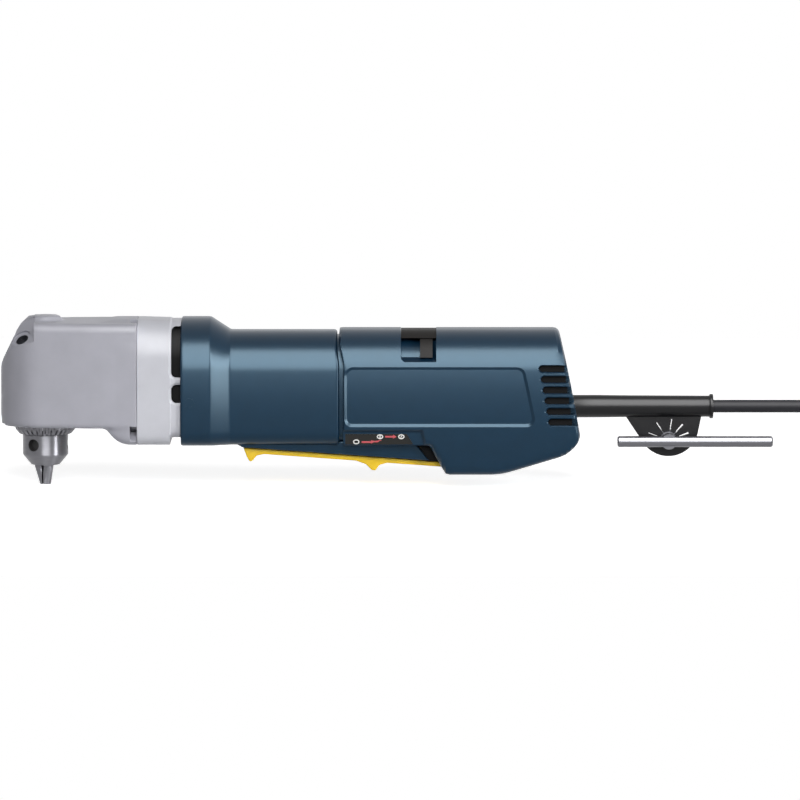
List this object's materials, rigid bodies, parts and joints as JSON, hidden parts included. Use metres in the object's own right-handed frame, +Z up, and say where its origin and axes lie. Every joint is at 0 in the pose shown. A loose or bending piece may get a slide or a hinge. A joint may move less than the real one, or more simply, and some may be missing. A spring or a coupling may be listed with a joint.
{
  "type": "right angle drill",
  "caption": "Corded right angle drill with a keyed chuck under a cast gear head, a long trigger lever under the grip, a reversing slider and a chuck key in a rubber holder.",
  "frame": {"origin": "on the spindle axis at the jaw tips, with the chuck pointing down", "axes": "+X from the spindle along the motor axis to the mains lead, +Z up along the spindle away from the bit"},
  "size_m": [0.767, 0.0786, 0.1017],
  "materials": {
    "cast_head": "satin silver-grey paint on die-cast metal",
    "cast_flange": "satin light grey paint on die-cast metal",
    "steel": "turned steel",
    "dark_steel": "dark oiled steel",
    "chuck_steel": "ground steel",
    "key_steel": "zinc plated steel",
    "housing": "fine textured dark blue plastic",
    "label": "black film",
    "copper": "enamelled copper",
    "black_plastic": "black plastic",
    "brass": "plain brass",
    "carbon": "pressed carbon",
    "lever": "yellow plastic",
    "slider": "dark grey plastic",
    "capacitor_case": "yellow resin case",
    "rubber": "matt black rubber",
    "cord_rubber": "black rubber sheath",
    "tie": "black strap"
  },
  "bodies": {
    "housing": {"gear_head": "cast_head", "gear_flange": "cast_flange", "bearing_holder": "steel", "gear_plate": "steel", "motor_housing": "housing", "rear_shell_left": "housing", "rear_shell_right": "housing", "head_screws": "dark_steel", "shell_screws": "dark_steel", "switch_labels": "label", "stator_core": "dark_steel", "field_coils": "copper", "motor_bearing_front": "steel", "motor_bearing_rear": "steel", "brush_holders": "brass", "carbon_brushes": "carbon", "brush_springs": "steel", "countershaft_bushes": "brass", "pinion_bearing": "steel", "spindle_bearing_lower": "steel", "spindle_bearing_upper": "steel", "trigger_pin": "steel", "trigger_spring": "steel", "switch_body": "black_plastic", "slider_cover": "slider", "capacitor": "capacitor_case", "cord_sleeve": "rubber", "cord_clamp": "black_plastic", "clamp_screws": "dark_steel", "cord_lead": "cord_rubber", "cord_hank": "cord_rubber", "cord_tie": "tie", "plug_body": "cord_rubber", "plug_pins": "brass"},
    "armature": {"armature_shaft": "steel", "armature_core": "dark_steel", "armature_windings": "copper", "commutator": "copper", "cooling_fan": "black_plastic"},
    "countershaft": {"countershaft": "steel", "first_gear": "steel"},
    "pinion_shaft": {"bevel_pinion": "steel", "second_gear": "steel"},
    "spindle": {"spindle": "steel", "bevel_gear": "steel", "chuck_body": "chuck_steel", "chuck_screw": "dark_steel"},
    "chuck_ring": {"chuck_sleeve": "chuck_steel", "chuck_nut": "steel"},
    "jaw_1": {"chuck_jaw_1": "chuck_steel"},
    "jaw_2": {"chuck_jaw_2": "chuck_steel"},
    "jaw_3": {"chuck_jaw_3": "chuck_steel"},
    "lever": {"trigger": "lever"},
    "plunger": {"switch_plunger": "black_plastic"},
    "slider": {"reverse_slider": "slider"},
    "key": {"key_stem": "key_steel"},
    "tommy_bar": {"key_bar": "key_steel"}
  },
  "joints": [
    {"name": "armature_spin", "type": "hinge", "parent": "housing", "child": "armature", "pos_m": [0.12, 0, 0.066], "axis": [1, 0, 0], "continuous": true},
    {"name": "countershaft_spin", "type": "hinge", "parent": "housing", "child": "countershaft", "pos_m": [0.06, 0, 0.0465], "axis": [1, 0, 0], "continuous": true},
    {"name": "pinion_spin", "type": "hinge", "parent": "housing", "child": "pinion_shaft", "pos_m": [0.04, 0, 0.066], "axis": [1, 0, 0], "continuous": true},
    {"name": "spindle_spin", "type": "hinge", "parent": "housing", "child": "spindle", "pos_m": [0, 0, 0.05], "axis": [0, 0, 1], "continuous": true},
    {"name": "sleeve_turn", "type": "hinge", "parent": "spindle", "child": "chuck_ring", "pos_m": [0, 0, 0.035], "axis": [0, 0, 1], "range_deg": [0, 2250]},
    {"name": "trigger_press", "type": "hinge", "parent": "housing", "child": "lever", "pos_m": [0.1219, 0, 0.0289], "axis": [0, -1, 0], "range_deg": [0, 2.8], "stiffness_Nm_per_rad": 6, "springref_deg": -4.01},
    {"name": "plunger_slide", "type": "slide", "parent": "housing", "child": "plunger", "axis": [0, 0, 1], "range_m": [0, 0.00487]},
    {"name": "reverse_slide", "type": "slide", "parent": "housing", "child": "slider", "axis": [-1, 0, 0], "range_m": [0, 0.0094]},
    {"name": "key_pull", "type": "slide", "parent": "housing", "child": "key", "axis": [0, -1, 0], "range_m": [0, 0.05]},
    {"name": "bar_slide", "type": "slide", "parent": "key", "child": "tommy_bar", "axis": [1, 0, 0], "range_m": [-0.018, 0.018]},
    {"name": "jaw_1_slide", "type": "slide", "parent": "spindle", "child": "jaw_1", "axis": [-0.2756, 0, 0.9613], "range_m": [0, 0.0125]},
    {"name": "jaw_2_slide", "type": "slide", "parent": "spindle", "child": "jaw_2", "axis": [0.1378, -0.2387, 0.9613], "range_m": [0, 0.0125]},
    {"name": "jaw_3_slide", "type": "slide", "parent": "spindle", "child": "jaw_3", "axis": [0.1378, 0.2387, 0.9613], "range_m": [0, 0.0125]}
  ],
  "couplings": [
    {"joint": "countershaft_spin", "follows": "armature_spin", "ratio": -0.18182},
    {"joint": "pinion_spin", "follows": "armature_spin", "ratio": 0.090909},
    {"joint": "spindle_spin", "follows": "armature_spin", "ratio": 0.037879},
    {"joint": "plunger_slide", "follows": "trigger_press", "m_per_rad": 0.0996},
    {"joint": "jaw_1_slide", "follows": "sleeve_turn", "m_per_rad": 0.00031831},
    {"joint": "jaw_2_slide", "follows": "sleeve_turn", "m_per_rad": 0.00031831},
    {"joint": "jaw_3_slide", "follows": "sleeve_turn", "m_per_rad": 0.00031831}
  ]
}
